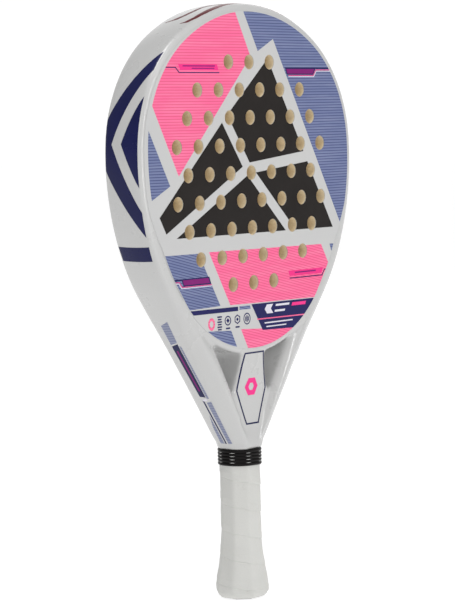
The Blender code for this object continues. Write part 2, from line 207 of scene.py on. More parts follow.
class Finish:
    """A lacquer, ink, foam or rubber: a principled shader whose colour, gloss and bump come from nodes."""

    def __init__(self, name, colour, roughness, **sockets):
        self.material = bpy.data.materials.new(name)
        self.material.use_nodes = True
        self.tree = self.material.node_tree
        self.shader = self.tree.nodes["Principled BSDF"]
        ground = self.node("ShaderNodeRGB")
        ground.outputs[0].default_value = (*colour, 1.0)
        self.last_colour = ground.outputs[0]
        self.last_rough = roughness
        self.last_bump = None
        for socket, value in sockets.items():
            self.shader.inputs[socket.replace("_", " ")].default_value = value
        coordinates = self.node("ShaderNodeTexCoord")
        self.place = coordinates.outputs["Object"]

    def node(self, kind, **settings):
        made = self.tree.nodes.new(kind)
        for key, value in settings.items():
            setattr(made, key, value)
        return made

    def link(self, source, target):
        self.tree.links.new(source, target)

    def stretched(self, scale, turn=(0, 0, 0)):
        mapping = self.node("ShaderNodeMapping")
        mapping.inputs["Scale"].default_value = scale
        mapping.inputs["Rotation"].default_value = turn
        self.link(self.place, mapping.inputs["Vector"])
        return mapping.outputs["Vector"]

    def noise(self, scale, detail=3.0, stretch=None, rough=0.55):
        made = self.node("ShaderNodeTexNoise")
        made.inputs["Scale"].default_value = scale
        made.inputs["Detail"].default_value = detail
        made.inputs["Roughness"].default_value = rough
        self.link(self.stretched(stretch) if stretch else self.place, made.inputs["Vector"])
        return made.outputs["Fac"]

    def waves(self, period, distortion, reach, stretch=(1, 1, 1), turn=(0, 0, 0)):
        """Lines across the height, one to each period in metres, that wander over the reach in metres."""
        made = self.node("ShaderNodeTexWave", wave_type="BANDS", bands_direction="Z", wave_profile="SIN")
        made.inputs["Scale"].default_value = WAVE_SCALE / period
        made.inputs["Distortion"].default_value = distortion
        made.inputs["Detail"].default_value = 2.0
        made.inputs["Detail Scale"].default_value = period / reach
        self.link(self.stretched(stretch, turn), made.inputs["Vector"])
        return made.outputs["Fac"]

    def ramp(self, value, low, high, first=0.0, last=1.0):
        made = self.node("ShaderNodeMapRange", clamp=True)
        for key, number in (("From Min", low), ("From Max", high), ("To Min", first), ("To Max", last)):
            made.inputs[key].default_value = number
        self.link(value, made.inputs["Value"])
        return made.outputs["Result"]

    def tint(self, factor, colour):
        """Lays a second colour over the first where the factor is high."""
        mix = self.node("ShaderNodeMix", data_type="RGBA")
        self.link(factor, mix.inputs["Factor"])
        self.link(self.last_colour, mix.inputs[6])
        mix.inputs[7].default_value = (*colour, 1.0)
        self.last_colour = mix.outputs[2]

    def mottle(self, colour, share, low, high, scale, detail, rough=0.55):
        """Clouds, specks or scuffs of a second colour, up to the given share."""
        self.tint(self.ramp(self.noise(scale, detail, rough=rough), low, high, 0.0, share), colour)

    def gloss(self, factor, low, high):
        self.last_rough = self.ramp(factor, 0.3, 0.7, low, high)

    def bump(self, height, strength, depth):
        made = self.node("ShaderNodeBump")
        made.inputs["Strength"].default_value = strength
        made.inputs["Distance"].default_value = depth
        self.link(height, made.inputs["Height"])
        if self.last_bump:
            self.link(self.last_bump, made.inputs["Normal"])
        self.last_bump = made.outputs["Normal"]

    def grain(self, strength, depth, scale, detail):
        self.bump(self.noise(scale, detail), strength, depth)

    def done(self):
        self.link(self.last_colour, self.shader.inputs["Base Color"])
        if isinstance(self.last_rough, float):
            self.shader.inputs["Roughness"].default_value = self.last_rough
        else:
            self.link(self.last_rough, self.shader.inputs["Roughness"])
        if self.last_bump:
            self.link(self.last_bump, self.shader.inputs["Normal"])
        return self.material


def pearl_lacquer():
    """Sprayed pearl white under clear coat: faint flake, slight clouding, uneven gloss and orange peel."""
    paint = Finish("pearl_lacquer", (0.53, 0.53, 0.525), 0.3, Coat_Weight=0.6, Coat_Roughness=0.1)
    paint.mottle((0.51, 0.51, 0.505), 0.5, 0.35, 0.7, 9, 2)
    paint.mottle((0.70, 0.70, 0.72), 0.35, 0.58, 0.75, 2600, 1)
    paint.gloss(paint.noise(45, 4), 0.24, 0.36)
    paint.grain(0.05, 0.0004, 420, 2)
    return paint.done()


white_paint = pearl_lacquer()


def tube_rings():
    rings = []
    for side, run in ((-1, list(reversed(RUN[1:]))), (1, RUN)):
        for x, z, heading, _ in run:
            section = round_both_faces(tube_profile(z))
            rings.append(
                [
                    (side * (x - inward * math.sin(heading)), y, z - inward * math.cos(heading))
                    for inward, y in section
                ]
            )
    return rings


def level_ring(side):
    """The tube's section at the foot of the neck, cut level."""
    profile = tube_profile(NECK_BOTTOM)
    share = (NECK_BOTTOM_HALF_WIDTH - NECK_INNER_HALF_WIDTH) / profile[-1][0]
    return [
        (side * (NECK_BOTTOM_HALF_WIDTH - inward * share), y, NECK_BOTTOM)
        for inward, y in round_both_faces(profile)
    ]


def bridge_rings():
    section = [(r, -y) for r, y in BRIDGE_SECTION] + [(r, y) for r, y in reversed(BRIDGE_SECTION)]
    sweep = range(-BRIDGE_HALF_SWEEP, BRIDGE_HALF_SWEEP + 1, BRIDGE_STEP)
    turns = [math.radians(degrees) for degrees in sweep]
    return [[(r * math.sin(t), y, BRIDGE_CENTRE - r * math.cos(t)) for r, y in section] for t in turns]


def yoke_rings():
    rings = []
    for height, half_width, half_depth in YOKE_STATIONS:
        corner = [
            (half_width, half_depth - YOKE_CORNER),
            (half_width - 0.3 * YOKE_CORNER, half_depth - 0.3 * YOKE_CORNER),
            (half_width - YOKE_CORNER, half_depth),
        ]
        half = corner + [(-x, y) for x, y in reversed(corner)]
        rings.append([(x, y, height) for x, y in half + [(-x, -y) for x, y in half]])
    return rings


def make_shell():
    """Tube, bridge and heart, fused into one skin and sanded smooth."""
    bm = bmesh.new()
    for rings in ([level_ring(-1), *tube_rings(), level_ring(1)], bridge_rings(), yoke_rings()):
        loft(bm, rings)
    shell = make_piece("frame_shell", bm, [white_paint])
    fuse = shell.modifiers.new("fuse", "REMESH")
    fuse.mode = "VOXEL"
    fuse.voxel_size = VOXEL
    fuse.use_smooth_shade = True
    sand = shell.modifiers.new("sand", "SMOOTH")
    sand.factor = 0.5
    sand.iterations = 10
    return settle(shell, smooth_degrees=60)


shell = make_shell()
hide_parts("frame_tube", "throat_bridge", "heart_yoke")
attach(shell, "root")
shell_surface = BVHTree.FromObject(shell, bpy.context.evaluated_depsgraph_get())

# ------------------------------------------------------------------------
# Core: a slab of tan closed-cell foam that fills the head, drilled right through with the two faces.
# The drilled walls are cut foam, so they show its cells and a little dust.
# ------------------------------------------------------------------------
HOLE_PITCH = 24.1
HOLE_DIAMETER = 11.2
TOP_HOLE_ROW = 410.3
HOLES_PER_ROW = (3, 6, 7, 8, 7, 8, 7, 6, 3)
HOLE_SIDES = 40
DRILL_LENGTH = 50
FACE_SIDE_ENDS = 122
FACE_BOTTOM_HEADING = 129
FACE_BOTTOM_RADIUS = 99.0
FACE_BOTTOM_INSET = 10.6
CORE_INSET = 13.6
SKIN_THICKNESS = 0.6
FACE_DEPTH = 18.0


def face_edge(inset_at):
    """The closed outline of the face, moved in from the racket's by inset_at(heading, height, side)."""
    sides = {}
    for side in (1, -1):
        points = []
        for x, z, heading, _ in RUN:
            if math.degrees(heading) > FACE_SIDE_ENDS:
                break
            inset = inset_at(heading, z, side)
            points.append((side * (x - inset * math.sin(heading)), z - inset * math.cos(heading)))
        inset = inset_at(math.radians(FACE_BOTTOM_HEADING), 0.0, side)
        radius = FACE_BOTTOM_RADIUS + FACE_BOTTOM_INSET - inset
        for degrees in range(FACE_BOTTOM_HEADING, 180, 3):
            turned = math.radians(degrees)
            points.append((side * radius * math.sin(turned), BRIDGE_CENTRE + radius * math.cos(turned)))
        sides[side] = points
    return sides[1] + [(0.0, BRIDGE_CENTRE - radius)] + list(reversed(sides[-1][1:]))


def slab(outline, front, back):
    """A flat sheet with this outline, between two depths."""
    return loft(bmesh.new(), [[(x, depth, z) for x, z in outline] for depth in (front, back)])


def make_drill():
    """Every hole of the head in one cutter."""
    bm = bmesh.new()
    row_step = HOLE_PITCH * math.sqrt(3) / 2
    radius = HOLE_DIAMETER / 2 * MM
    for row, count in enumerate(HOLES_PER_ROW):
        for index in range(count):
            x, z = (index - (count - 1) / 2) * HOLE_PITCH, TOP_HOLE_ROW - row * row_step
            bmesh.ops.create_cone(
                bm, cap_ends=True, segments=HOLE_SIDES,
                radius1=radius, radius2=radius, depth=DRILL_LENGTH * MM,
                matrix=Matrix.Translation((x * MM, 0, z * MM)) @ Matrix.Rotation(math.pi / 2, 4, "X"),
            )
    drill = make_piece("hole_drill", bm, [], smooth_degrees=0)
    drill.hide_render = True
    return drill


def cut(piece, cutter, operation="DIFFERENCE"):
    made = piece.modifiers.new(cutter.name, "BOOLEAN")
    made.operation = operation
    made.solver = "EXACT"
    made.object = cutter


def foam():
    made = Finish("tan_foam", (0.86, 0.74, 0.52), 0.85, Specular_IOR_Level=0.2)
    made.mottle((0.68, 0.53, 0.32), 0.5, 0.35, 0.7, 700, 4)
    made.mottle((0.93, 0.85, 0.68), 0.5, 0.5, 0.75, 90, 3)
    made.grain(0.5, 0.0004, 1400, 3)
    return made.done()


tan_foam = foam()
drill = make_drill()
core_edge = face_edge(lambda *_: CORE_INSET)
core_depth = FACE_DEPTH - SKIN_THICKNESS
core = make_piece("drilled_core", slab(core_edge, -core_depth, core_depth), [tan_foam])
cut(core, drill)
settle(core)
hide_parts("foam_core")
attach(core, "root")

# ------------------------------------------------------------------------
# Faces: glass-fibre skins bonded to the foam and drilled with it. They are lacquered white and carry prints
# in pink, slate, black and navy, of which the pink and the slate have a fine ribbed texture.
# ------------------------------------------------------------------------
INK_LIFT = 0.05
INK_ROOT = 0.25
OUTSIDE_DEPTH = 30
PRINT_INSET = 8.6
PRINT_SHIFT = (2.0, 2.1)
PRINT_MARGIN = 0.4
RIB_PERIOD = 0.0021


def skin_inset(heading, height, side):
    return lookup(SKIN_INSETS, height)


def print_inset(heading, height, side):
    """The print sits a little right of the middle of the face and above it, so its white rim is uneven."""
    right, up = PRINT_SHIFT
    uneven = PRINT_INSET - side * right * math.sin(heading) - up * math.cos(heading)
    return max(uneven, lookup(SKIN_INSETS, height) + PRINT_MARGIN)


def printed_white():
    made = Finish("printed_white", (0.56, 0.56, 0.555), 0.4, Coat_Weight=0.15, Coat_Roughness=0.25)
    made.mottle((0.52, 0.52, 0.53), 0.4, 0.35, 0.7, 12, 2)
    made.mottle((0.48, 0.47, 0.45), 0.25, 0.66, 0.76, 70, 6, rough=0.7)
    made.gloss(made.noise(40, 4), 0.28, 0.42)
    made.grain(0.08, 0.0003, 900, 2)
    return made.done()


def ribbed_ink(name, colour, light, dark, slant=0.0):
    """An ink in fine ribs, level or slanted, that wander and are lighter or darker than the ground."""
    made = Finish(name, colour, 0.5, Specular_IOR_Level=0.25)
    period = RIB_PERIOD * math.cos(slant)
    fine = made.waves(period, 4.0, 0.030, stretch=(0.35, 1, 1), turn=(0, slant, 0))
    coarse = made.noise(190, 3, stretch=(0.10, 0.3, 1.0))
    made.tint(made.ramp(coarse, 0.44, 0.72, 0.0, 0.75), light)
    made.tint(made.ramp(fine, 0.66, 0.95, 0.0, 0.8), dark)
    made.gloss(made.noise(60, 3), 0.44, 0.56)
    made.bump(fine, 0.15, 0.0002)
    return made.done()


def plain_ink(name, colour, shade, roughness=0.45):
    made = Finish(name, colour, roughness, Specular_IOR_Level=0.2)
    made.mottle(shade, 0.6, 0.4, 0.7, 30, 4)
    made.mottle((0.4, 0.4, 0.4), 0.05, 0.70, 0.78, 90, 6, rough=0.7)
    made.gloss(made.noise(50, 3), roughness - 0.05, roughness + 0.08)
    made.grain(0.08, 0.0003, 900, 2)
    return made.done()


skin_white = printed_white()
RIB_SLANT = math.radians(-35)
PINK_TONES = ((0.95, 0.150, 0.325), (0.97, 0.24, 0.40), (0.74, 0.075, 0.20))
SLATE_TONES = ((0.155, 0.190, 0.35), (0.23, 0.265, 0.42), (0.030, 0.038, 0.150))
pink_ink = ribbed_ink("pink_ink", *PINK_TONES)
slanted_pink_ink = ribbed_ink("slanted_pink_ink", *PINK_TONES, RIB_SLANT)
slate_ink = ribbed_ink("slate_ink", *SLATE_TONES)
slanted_slate_ink = ribbed_ink("slanted_slate_ink", *SLATE_TONES, RIB_SLANT)
black_ink = plain_ink("black_ink", (0.010, 0.007, 0.006), (0.016, 0.012, 0.010), 0.55)
navy_ink = plain_ink("navy_ink", (0.008, 0.008, 0.085), (0.012, 0.012, 0.11))
hot_pink_ink = plain_ink("hot_pink_ink", (0.88, 0.030, 0.24), (0.93, 0.045, 0.30))
purple_ink = plain_ink("purple_ink", (0.20, 0.006, 0.15), (0.26, 0.01, 0.19))
pale_ink = plain_ink("pale_ink", (0.72, 0.70, 0.78), (0.66, 0.64, 0.72))

PINK_AREAS = (
    ((-83, 326.4), (-110, 378), (-130, 416), (-140, 462), (-22.6, 462), (1.7, 414.5)),
)
LOWER_PINK_AREAS = (
    ((-51.3, 269.2), (83.6, 268.1), (95.5, 247.8), (112, 226.6), (-28.1, 228.0)),
    ((-16.3, 208.9), (56, 204.6), (50, 184), (-3.2, 184)),
)
SLATE_AREAS = (
    ((-13.1, 462), (10.6, 418.6), (29.0, 427.9), (110.9, 279.6), (119, 265), (150, 270), (150, 462)),
    ((-92.7, 319.6), (-127, 383.2), (-142, 383), (-142, 295.5)),
)
LOWER_SLATE_AREAS = (
    ((-122, 269.2), (-62.8, 268.8), (-39.6, 228.3), (-102, 226.9)),
    ((94.4, 267.8), (128, 267.4), (98.8, 255.8)),
    ((-64, 210.6), (-27.8, 208.8), (-15.4, 184), (-64, 184)),
    ((-17.6, 226.3), (-5.2, 226.2), (-4.4, 223.6), (-17.6, 223.7)),
)
SHARD_CENTRE = (-4.0, 330.0)
SHARD_GAP = 8.5
SHARD_OUTLINES = (
    ((-96, 281), (46, 281)),
    ((46, 281), (99, 281), (66, 337.6)),
    ((66, 337.6), (22, 413), (-30, 368)),
    ((-30, 368), (-105, 297), (-96, 281)),
)
NAVY_AREAS = (
    ((-104, 227.1), (-19.2, 226.3), (-19.2, 223.0), (-104, 223.6)),
    ((-3.4, 226.9), (104, 226.2), (58, 204.9), (9.4, 206.2)),
)
DIVIDER = ((2.7, 215.4), (70, 214.7), (70, 213.8), (3.1, 214.5))


def crossing(start, along, other, across):
    """Where two lines meet, each given by a point and a direction."""
    offset = Vector(other) - Vector(start)
    share = (offset.x * across.y - offset.y * across.x) / (along.x * across.y - along.y * across.x)
    return tuple(Vector(start) + along * share)


def shard(outline):
    """A facet from the centre to a stretch of outline, pulled in by half the gap along both its spokes."""
    centre = Vector(SHARD_CENTRE)
    first, last = Vector(outline[0]) - centre, Vector(outline[-1]) - centre
    side = math.copysign(SHARD_GAP / 2, first.x * last.y - first.y * last.x)
    near = centre + Vector((-first.y, first.x)).normalized() * side
    far = centre - Vector((-last.y, last.x)).normalized() * side
    begin, end = Vector(outline[1]) - Vector(outline[0]), Vector(outline[-1]) - Vector(outline[-2])
    return (
        crossing(near, first, far, last),
        crossing(near, first, outline[0], begin),
        *outline[1:-1],
        crossing(far, last, outline[-1], end),
    )


BLACK_AREAS = tuple(shard(outline) for outline in SHARD_OUTLINES)


def stepped_line(start, level, step_at, drop, end, thickness, lean=3.2):
    """A printed line that runs level, steps down or up over a short slope and runs level again."""
    low, under = level - drop, 0.35 * math.copysign(thickness, drop)
    return (
        (start, level),
        (step_at + under, level),
        (step_at + lean + under, low),
        (end, low),
        (end, low - thickness),
        (step_at + lean - under, low - thickness),
        (step_at - under, level - thickness),
        (start, level - thickness),
    )


HOT_PINK_BOXES = (
    ((-81.0, 408.4), (-37.4, 408.4), (-35.8, 403.9), (-78.6, 403.9)),
    ((42.0, 249.6), (85.5, 249.6), (83.2, 245.4), (43.8, 245.4)),
    ((45.0, 222.3), (62.0, 222.3), (63.0, 224.8), (46.0, 224.8)),
)
PURPLE_BOXES = (
    ((44.4, 405.2), (79.4, 405.2), (77.0, 401.6), (45.8, 401.6)),
    ((-81.6, 250.2), (-52.8, 250.2), (-51.0, 246.4), (-80.0, 246.4)),
)
NAVY_LABELS = (
    ((42.8, 406.4), (104.0, 406.4), (104.0, 405.2), (80.4, 405.2), (77.6, 400.8), (45.0, 400.8)),
    ((-98.0, 251.1), (-51.6, 251.1), (-49.4, 245.5), (-80.6, 245.5), (-82.6, 249.8), (-98.0, 249.8)),
    stepped_line(-104.0, 406.3, -84.0, 3.7, -35.0, 0.7, 4.0),
    stepped_line(43.5, 244.1, 84.0, -4.3, 110.0, 0.8),
)
PALE_LINES = (
    stepped_line(47.0, 399.6, 78.4, -4.3, 108.0, 0.6),
    stepped_line(-98.0, 248.2, -86.0, 3.8, -49.0, 0.6),
    ((12.2, 222.0), (15.0, 225.4), (22.4, 225.4), (19.6, 222.0), (22.4, 218.4), (15.0, 218.4)),
    ((26.0, 225.0), (42.6, 225.0), (42.0, 223.4), (25.4, 223.4)),
    ((24.6, 220.6), (37.0, 220.6), (36.4, 219.0), (24.0, 219.0)),
    ((11.6, 211.9), (46.0, 211.9), (46.0, 210.9), (12.0, 210.9)),
    ((13.6, 208.9), (38.0, 208.9), (38.0, 208.0), (14.0, 208.0)),
)
PINK_LINES = (
    stepped_line(47.0, 400.5, 77.8, -4.3, 108.0, 0.5),
    stepped_line(-98.0, 249.1, -85.4, 3.8, -49.0, 0.5),
)
BOX_RULES = (
    ((-76.0, 407.5), (-40.0, 407.5), (-40.0, 406.7), (-76.0, 406.7)),
    ((-66.0, 405.7), (-40.6, 405.7), (-40.6, 405.0), (-66.0, 405.0)),
    ((50.0, 248.3), (76.0, 248.3), (76.0, 247.3), (50.0, 247.3)),
)
ICON_CENTRES = (-50.2, -40.9, -31.4, -20.3, -9.0)
ICON_HEIGHT = 215.2


def regular(x, z, radius, sides, turn=0.0, squash=1.0):
    """The corners of a regular outline round a point."""
    turns = [turn + 2 * math.pi * step / sides for step in range(sides)]
    return [(x + radius * math.cos(t), z + squash * radius * math.sin(t)) for t in turns]


def band(outer, inner):
    """Quads between two outlines with the same number of corners."""
    count = len(outer)
    return tuple(
        (outer[i], outer[(i + 1) % count], inner[(i + 1) % count], inner[i]) for i in range(count)
    )


def box(left, low, right, high):
    return ((left, low), (right, low), (right, high), (left, high))


def icon_patches():
    """Five small generic marks: a ring, a ladder, a lozenge in a ring, a hexagon and a disc of bars."""
    z = ICON_HEIGHT
    pink = band(*(regular(ICON_CENTRES[0], z, radius, 24, squash=1.2) for radius in (3.9, 2.1)))
    navy = []
    for rung in range(6):
        low = z - 5.2 + rung * 1.9
        x, half = ICON_CENTRES[1], 2.6 if rung % 2 else 2.1
        navy.append(box(x - half, low, x + half, low + 1.1))
    x = ICON_CENTRES[2]
    navy += band(*(regular(x, z + 1.4, radius, 24) for radius in (3.7, 2.8)))
    navy.append(regular(x, z + 1.4, 1.9, 4))
    navy.append(box(x - 2.4, z - 5.0, x + 2.4, z - 3.8))
    x = ICON_CENTRES[3]
    navy += band(*(regular(x, z + 1.6, radius, 6, 0.52) for radius in (3.7, 2.7)))
    navy.append(regular(x, z + 1.6, 1.2, 12))
    navy.append(box(x - 2.4, z - 4.8, x + 2.4, z - 3.6))
    x = ICON_CENTRES[4]
    navy += band(*(regular(x, z + 1.2, radius, 24, squash=1.1) for radius in (4.1, 3.3)))
    for offset in (-1.5, 0.0, 1.5):
        tall = 2.6 - abs(offset) * 0.6
        navy.append(box(x + offset - 0.5, z + 1.2 - tall, x + offset + 0.5, z + 1.2 + tall))
    return pink, navy


ICON_PINK, ICON_NAVY = icon_patches()


def mirrored(outline, side):
    return [(side * x, z) for x, z in outline]


def flat_film(name, patches, depth_side, material, lift, cutters):
    """Thin solid films of the patches, laid on the flat face and trimmed by the cutters."""
    bm = bmesh.new()
    near, far = depth_side * (FACE_DEPTH - INK_ROOT), depth_side * (FACE_DEPTH + lift)
    for patch in patches:
        loft(bm, [[(x, depth, z) for x, z in mirrored(patch, -depth_side)] for depth in (near, far)])
    film = make_piece(name, bm, [material])
    for cutter, operation in cutters:
        cut(film, cutter, operation)
    settle(film)
    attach(film, "root")
    return film


PRINTS = (
    ("pink_print", PINK_AREAS, pink_ink, 1.0),
    ("lower_pink_print", LOWER_PINK_AREAS, slanted_pink_ink, 1.0),
    ("slate_print", SLATE_AREAS, slate_ink, 1.0),
    ("lower_slate_print", LOWER_SLATE_AREAS, slanted_slate_ink, 1.0),
    ("black_print", BLACK_AREAS, black_ink, 1.0),
    ("navy_print", NAVY_AREAS, navy_ink, 1.6),
    ("label_frames", NAVY_LABELS, navy_ink, 1.7),
    ("label_boxes", HOT_PINK_BOXES, hot_pink_ink, 2.6),
    ("label_panels", PURPLE_BOXES, purple_ink, 2.4),
    ("label_pink_lines", PINK_LINES, hot_pink_ink, 2.4),
    ("label_pale_lines", PALE_LINES, pale_ink, 2.6),
    ("box_rules", BOX_RULES, purple_ink, 3.4),
    ("banner_divider", (DIVIDER,), pink_ink, 2.4),
    ("ring_icon", ICON_PINK, pink_ink, 1.4),
    ("small_icons", ICON_NAVY, navy_ink, 1.4),
)
UNCUT_PRINTS = ("ring_icon", "small_icons")
for face, depth_side in (("front", -1), ("back", 1)):
    print_edge = mirrored(face_edge(print_inset), -depth_side)
    limit_slab = slab(print_edge, -OUTSIDE_DEPTH, OUTSIDE_DEPTH)
    limit = make_piece(face + "_print_limit", limit_slab, [], smooth_degrees=0)
    limit.hide_render = True
    depths = sorted((depth_side * FACE_DEPTH, depth_side * (FACE_DEPTH - SKIN_THICKNESS)))
    skin = make_piece(face + "_skin", slab(face_edge(skin_inset), *depths), [skin_white])
    cut(skin, drill)
    settle(skin)
    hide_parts(face + "_face")
    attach(skin, "root")
    for name, patches, ink, lifts in PRINTS:
        cutters = () if name in UNCUT_PRINTS else ((limit, "INTERSECT"), (drill, "DIFFERENCE"))
        flat_film(f"{face}_{name}", patches, depth_side, ink, INK_LIFT * lifts, cutters)
    bpy.data.objects.remove(limit)
bpy.data.objects.remove(drill)

# ------------------------------------------------------------------------
# Prints on the painted frame: water-slide films that follow the curved wall of the tube, the arms and the
# heart, under the same clear lacquer. The shapes are plain chevrons, bars and outlines.
# ------------------------------------------------------------------------
FILM_STEPS = (2.5, 1.0)
FILM_LIFT = 0.09
FILM_ROOT = -0.25
RAY_REACH = 8
HATCH_PERIOD = 0.0016
wall_navy_ink = plain_ink("wall_navy_ink", (0.007, 0.009, 0.060), (0.010, 0.012, 0.085), 0.3)
dark_red_ink = plain_ink("dark_red_ink", (0.10, 0.003, 0.008), (0.16, 0.005, 0.012), 0.3)


def hatched_ink():
    made = Finish("hatched_slate_ink", (0.15, 0.17, 0.28), 0.45, Specular_IOR_Level=0.25)
    lines = made.waves(HATCH_PERIOD, 0.0, 0.03, turn=(0, math.radians(40), 0))
    made.tint(made.ramp(lines, 0.45, 0.75, 0.0, 0.8), (0.36, 0.38, 0.48))
    made.gloss(made.noise(50, 3), 0.3, 0.42)
    made.bump(lines, 0.08, 0.0002)
    return made.done()


slate_hatch = hatched_ink()


def new_vertices(extrusion):
    return [part for part in extrusion["geom"] if isinstance(part, bmesh.types.BMVert)]


def sliced_patches(patches):
    """Faces for the patches, cut across both ways so that they can follow a curved surface."""
    bm = bmesh.new()
    for patch in patches:
        bm.faces.new([bm.verts.new((a, b, 0)) for a, b in patch])
    for axis in (0, 1):
        low = min(vertex.co[axis] for vertex in bm.verts)
        high = max(vertex.co[axis] for vertex in bm.verts)
        normal = Vector((axis == 0, axis == 1, 0))
        for slice_at in range(1, int((high - low) / FILM_STEPS[axis]) + 1):
            bmesh.ops.bisect_plane(
                bm, geom=[*bm.verts, *bm.edges, *bm.faces], dist=1e-4,
                plane_co=normal * (low + slice_at * FILM_STEPS[axis]), plane_no=normal,
            )
    bmesh.ops.recalc_face_normals(bm, faces=bm.faces)
    for vertex in new_vertices(bmesh.ops.extrude_face_region(bm, geom=list(bm.faces))):
        vertex.co.z = 1.0
    return bm


def laid_film(name, patches, material, ray_at, lift=FILM_LIFT):
    """A thin film on the shell. ray_at(a, b) gives the start and way of the ray that lays a point down."""
    bm = sliced_patches(patches)
    for vertex in bm.verts:
        origin, direction = ray_at(vertex.co.x, vertex.co.y)
        hit = shell_surface.ray_cast(origin, direction)[0]
        if hit is None:
            hit = origin + direction * RAY_REACH * MM
        height = lift if vertex.co.z > 0.5 else FILM_ROOT
        vertex.co = hit - direction * height * MM
    film = make_piece(name, bm, [material], smooth_degrees=50)
    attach(film, "root")
    return film


def wall_ray(side):
    """Rays square to the wall of the tube, by distance along the outline and depth across it."""

    def ray_at(distance, depth):
        x, z, heading = on_outline(distance)
        inward = Vector((-side * math.sin(heading), 0, -math.cos(heading)))
        return Vector((side * x, depth, z)) * MM - inward * RAY_REACH * MM, inward

    return ray_at


def face_ray(depth_side):
    """Rays square to the face, from in front of it or from behind."""

    def ray_at(x, z):
        return Vector((-depth_side * x, depth_side * OUTSIDE_DEPTH, z)) * MM, Vector((0, -depth_side, 0))

    return ray_at


def ribbon(points):
    """Quads along (distance, depth, half thickness) stations."""
    patches = []
    for (u0, y0, t0), (u1, y1, t1) in zip(points, points[1:]):
        patches.append(((u0, y0 - t0), (u1, y1 - t1), (u1, y1 + t1), (u0, y0 + t0)))
    return patches


WALL_CHEVRON = (
    ((104, -15.8), (122, -15.8), (180, 8.6), (230, -15.5), (249, -15.0), (199, 15.6), (162, 15.6)),
    ((144, -15.8), (212, -15.8), (180, -1.0)),
)
CROSS_BAR = (((256.5, -15.0), (268, -14.6), (268, 14.4), (256.5, 15.0)),)
PIN_STRIPES = (
    ribbon((
        (66, 9.0, 0.6), (62, 2.5, 2.2), (54, -0.8, 1.7), (44, -1.8, 1.5), (34, -0.6, 1.5), (26, -1.5, 1.4),
        (17, -7.0, 0.5),
    ))
    + ribbon((
        (69, -8.0, 0.5), (66.5, -11.6, 1.8), (58, -13.6, 1.6), (46, -13.6, 2.0), (32, -12.6, 2.4),
        (16, -10.6, 2.4), (0.5, -8.6, 1.8),
    ))
)
ARM_BLOCK = (((321.4, -3.7), (341.3, -3.2), (343.7, 4.0), (325.6, 4.5)),)
ARM_BAR = (((342.6, -2.9), (394.0, -4.6), (393.6, 0.9), (345.2, 3.9)),)
ARM_BAR_LINE = (((349, -0.2), (388, -2.4), (388, -1.0), (349.6, 1.3)),)
ARM_STRIP = (
    ((345.0, -5.4), (395, -7.4), (395, -5.3), (344.4, -3.7)),
    ((398, -7.9), (440, -7.9), (440, -4.4), (399, -3.2)),
)
ARM_RULE = (((397.5, -1.3), (440, -2.9), (440, -1.6), (397.5, 0.1)),)
ARM_EDGE = (((412, 0.7), (440, -0.6), (440, 3.2), (424, 3.0)),)
ARM_TICK = (((395.4, -4.6), (397.2, -4.8), (398.0, -0.6), (396.2, -0.4)),)

WALL_FILMS = (
    ("wall_chevron", WALL_CHEVRON + CROSS_BAR, wall_navy_ink, 1.0),
    ("wall_pinstripes", PIN_STRIPES, dark_red_ink, 1.0),
    ("arm_hatching", ARM_BLOCK + ARM_STRIP + ARM_EDGE, slate_hatch, 1.0),
    ("arm_bar", ARM_BAR + ARM_RULE, wall_navy_ink, 1.3),
    ("arm_bar_line", ARM_BAR_LINE, purple_ink, 2.0),
    ("arm_tick", ARM_TICK, pale_ink, 1.8),
)
for label, side in (("left", -1), ("right", 1)):
    for name, patches, ink, lifts in WALL_FILMS:
        laid_film(f"{label}_{name}", patches, ink, wall_ray(side), FILM_LIFT * lifts)

HEART_OUTLINE = ((-11.4, 190.4), (11.4, 190.4), (17.7, 161.5), (7.4, 134.6), (-7.4, 134.6), (-17.7, 161.5))
HEART_INSIDE = ((-10.3, 189.2), (10.3, 189.2), (16.3, 161.5), (6.5, 135.8), (-6.5, 135.8), (-16.3, 161.5))
HEART_LIFT = 0.14
MARK_CENTRE = (0.0, 163.5)
MARK_RADII = (7.6, 3.2)
for face, depth_side in (("front", -1), ("back", 1)):
    ray_at = face_ray(depth_side)
    outline = band(HEART_OUTLINE, HEART_INSIDE)
    laid_film(face + "_heart_outline", outline, wall_navy_ink, ray_at, HEART_LIFT)
    mark = band(*(regular(*MARK_CENTRE, radius, 6) for radius in MARK_RADII))
    laid_film(face + "_heart_mark", mark, hot_pink_ink, ray_at)

# ------------------------------------------------------------------------
# Handle: foam-filled legs of the frame inside two moulded half shells, a black cushioned grip, then a white
# overgrip wound up from the butt with each turn lapping the one before, and vinyl tape under the collar.
# ------------------------------------------------------------------------
PALLET_HALF = (13.4, 12.4)
OCTAGON_SOFTNESS = 26.0
FLARE = ((116, 0.0), (50, 0.0), (36, 0.8), (25, 2.3), (15, 4.0), (9, 4.8), (5, 4.6), (2.4, 3.3), (1.0, 1.5))
WRAP_SPREAD = 2.5
WRAP_SPAN = (1.0, 110.0)
WRAP_PITCH = 20.7
WRAP_START = math.radians(274)
WRAP_START_HEIGHT = 4.0
WRAP_SINK = 0.3
HANDLE_TOP = 116
WRAP_SIDES = 120
SLEEVE_SIDES = 80
WRAP_PULLS = ((0.10, 3, 0.21), (0.07, 5, -0.33))
FOLD_SHARE, FOLD_DROP = 0.93, 0.15
BUTT_EDGE_SHARE, BUTT_EDGE_DROP = 0.985, 0.35
LAP_THICKNESS = 0.42
LAP_EDGE, LAP_TOP, LAP_FOOT, NEXT_LAP = 0.035, 0.24, 0.30, 0.97
CUSHION_SPREAD, CUSHION_THICKNESS, CUSHION_SPAN = 0.3, 1.2, (3.0, 106.0)
TAPE_SPREAD, TAPE_THICKNESS, TAPE_SPAN = 2.75, 0.25, (104.5, 114.5)


